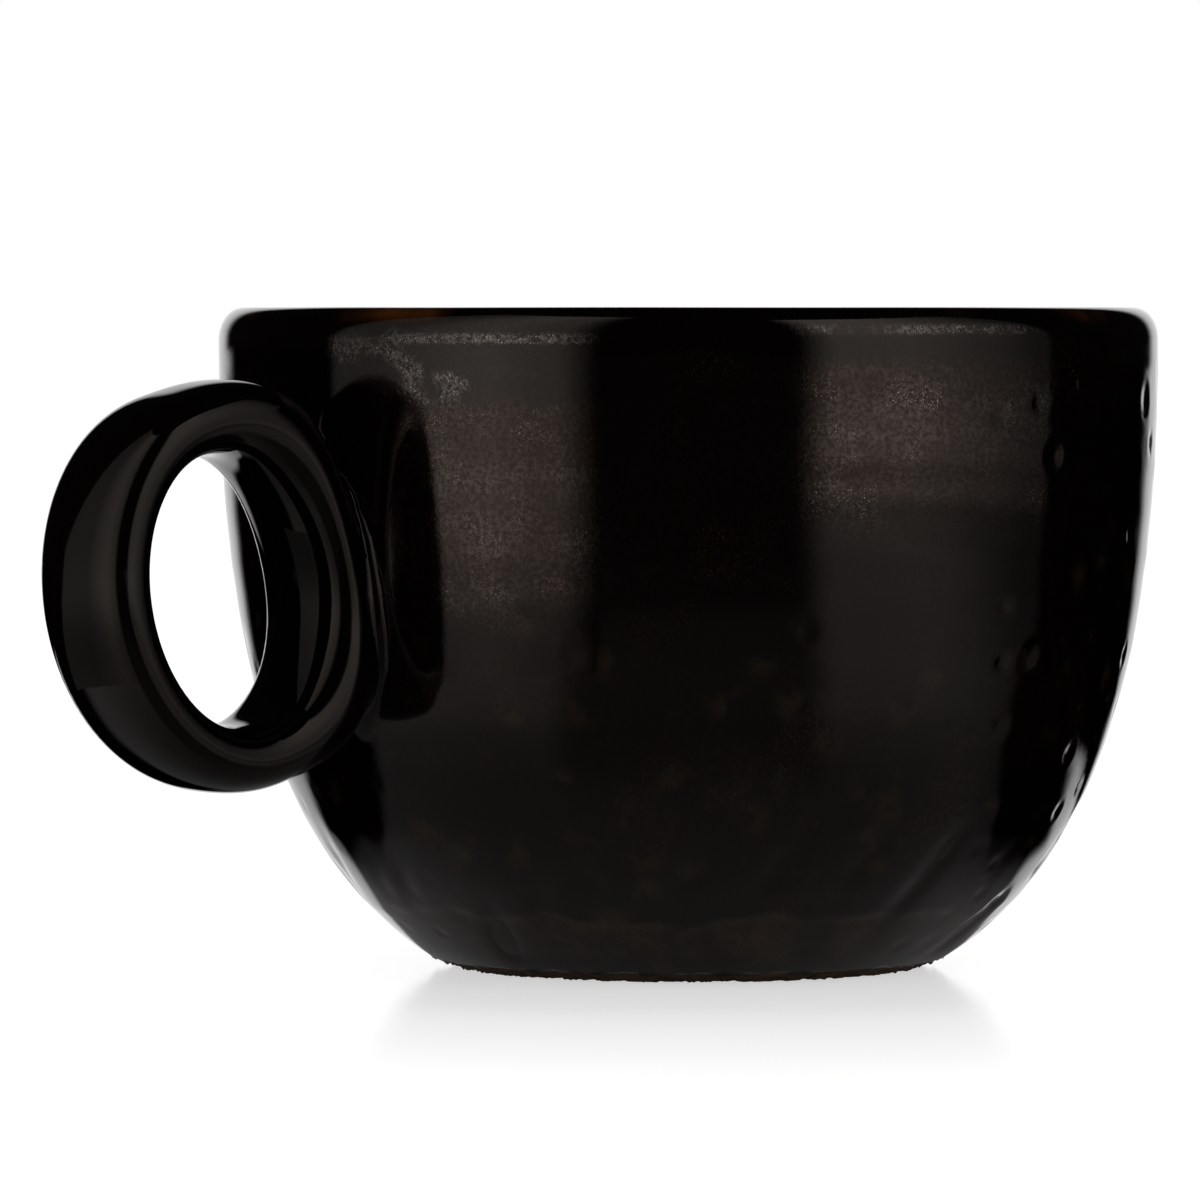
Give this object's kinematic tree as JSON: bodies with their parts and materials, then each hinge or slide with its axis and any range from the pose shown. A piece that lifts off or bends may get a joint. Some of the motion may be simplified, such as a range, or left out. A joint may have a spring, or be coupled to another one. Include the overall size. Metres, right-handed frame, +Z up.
{
  "type": "latte mug",
  "caption": "Thrown stoneware mug with a deep rounded bowl, a small foot and a luted ring handle, dark glossy glaze over all but the foot, for holding milky coffee.",
  "frame": {"origin": "on the bowl's axis, in the plane that the foot stands on", "axes": "+Z up along the bowl's axis, +X from the axis towards the ring handle, +Y to complete a right-handed frame; the mug is the same on both sides of the XZ plane"},
  "size_m": [0.1321, 0.1, 0.0702],
  "materials": {
    "clay": "matt bare stoneware, rough at the foot",
    "glaze": "glossy black-brown glaze with small dimples"
  },
  "bodies": {
    "root": {"cup_body": "clay", "ring_handle": "clay", "slip_bed": "clay", "outer_glaze": "glaze", "liner_glaze": "glaze"}
  },
  "joints": []
}
